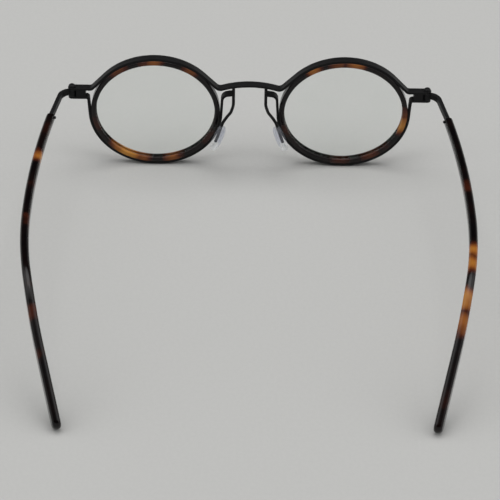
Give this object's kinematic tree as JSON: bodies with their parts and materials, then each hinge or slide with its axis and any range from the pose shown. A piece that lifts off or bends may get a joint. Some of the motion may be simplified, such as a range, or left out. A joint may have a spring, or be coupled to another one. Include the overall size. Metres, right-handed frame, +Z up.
{
  "type": "eyeglasses",
  "caption": "Round eyeglasses: a flat wire front with tortoise inserts, clear lenses and soft nose pads, hinged to long curved temples that fold.",
  "frame": {"origin": "centre of the bounding box at the surface that the rims and temple tips stand on", "axes": "+Z up, +X to the wearer's left, the wearer looks along -Y and the temples run back along +Y"},
  "size_m": [0.1476, 0.1366, 0.0441],
  "materials": {
    "coated_titanium": "satin black coating on titanium strip and wire",
    "tortoise_acetate": "polished tortoise cellulose acetate, near black with amber and red-brown patches",
    "lens_resin": "clear polished resin lens with an anti-reflection coating",
    "clear_silicone": "clear soft silicone, slightly frosted",
    "washer_polymer": "black acetal washer"
  },
  "bodies": {
    "front": {"brow_bar": "coated_titanium", "left_rim_wire": "coated_titanium", "left_rim_insert": "tortoise_acetate", "left_lens": "lens_resin", "left_end_block": "coated_titanium", "left_hinge_pin": "coated_titanium", "left_upper_washer": "washer_polymer", "left_lower_washer": "washer_polymer", "left_pad_arm": "coated_titanium", "right_rim_wire": "coated_titanium", "right_rim_insert": "tortoise_acetate", "right_lens": "lens_resin", "right_end_block": "coated_titanium", "right_hinge_pin": "coated_titanium", "right_upper_washer": "washer_polymer", "right_lower_washer": "washer_polymer", "right_pad_arm": "coated_titanium"},
    "left_temple": {"left_temple_arm": "coated_titanium", "left_temple_sleeve": "tortoise_acetate", "left_temple_rivet": "coated_titanium"},
    "right_temple": {"right_temple_arm": "coated_titanium", "right_temple_sleeve": "tortoise_acetate", "right_temple_rivet": "coated_titanium"},
    "left_pad": {"left_nose_pad": "clear_silicone"},
    "right_pad": {"right_nose_pad": "clear_silicone"}
  },
  "joints": [
    {"name": "left_temple_hinge", "type": "hinge", "parent": "front", "child": "left_temple", "pos_m": [0.062, -0.06541, 0.02941], "axis": [0, -0.0889, 0.996], "range_deg": [0, 86]},
    {"name": "right_temple_hinge", "type": "hinge", "parent": "front", "child": "right_temple", "pos_m": [-0.062, -0.06541, 0.02941], "axis": [0, 0.0889, -0.996], "range_deg": [0, 76]},
    {"name": "left_pad_rock", "type": "hinge", "parent": "front", "child": "left_pad", "pos_m": [0.00925, -0.05688, 0.02324], "axis": [0.2866, 0.0122, -0.958], "range_deg": [-8, 8]},
    {"name": "right_pad_rock", "type": "hinge", "parent": "front", "child": "right_pad", "pos_m": [-0.00925, -0.05688, 0.02324], "axis": [-0.2866, 0.0122, -0.958], "range_deg": [-8, 8]}
  ]
}
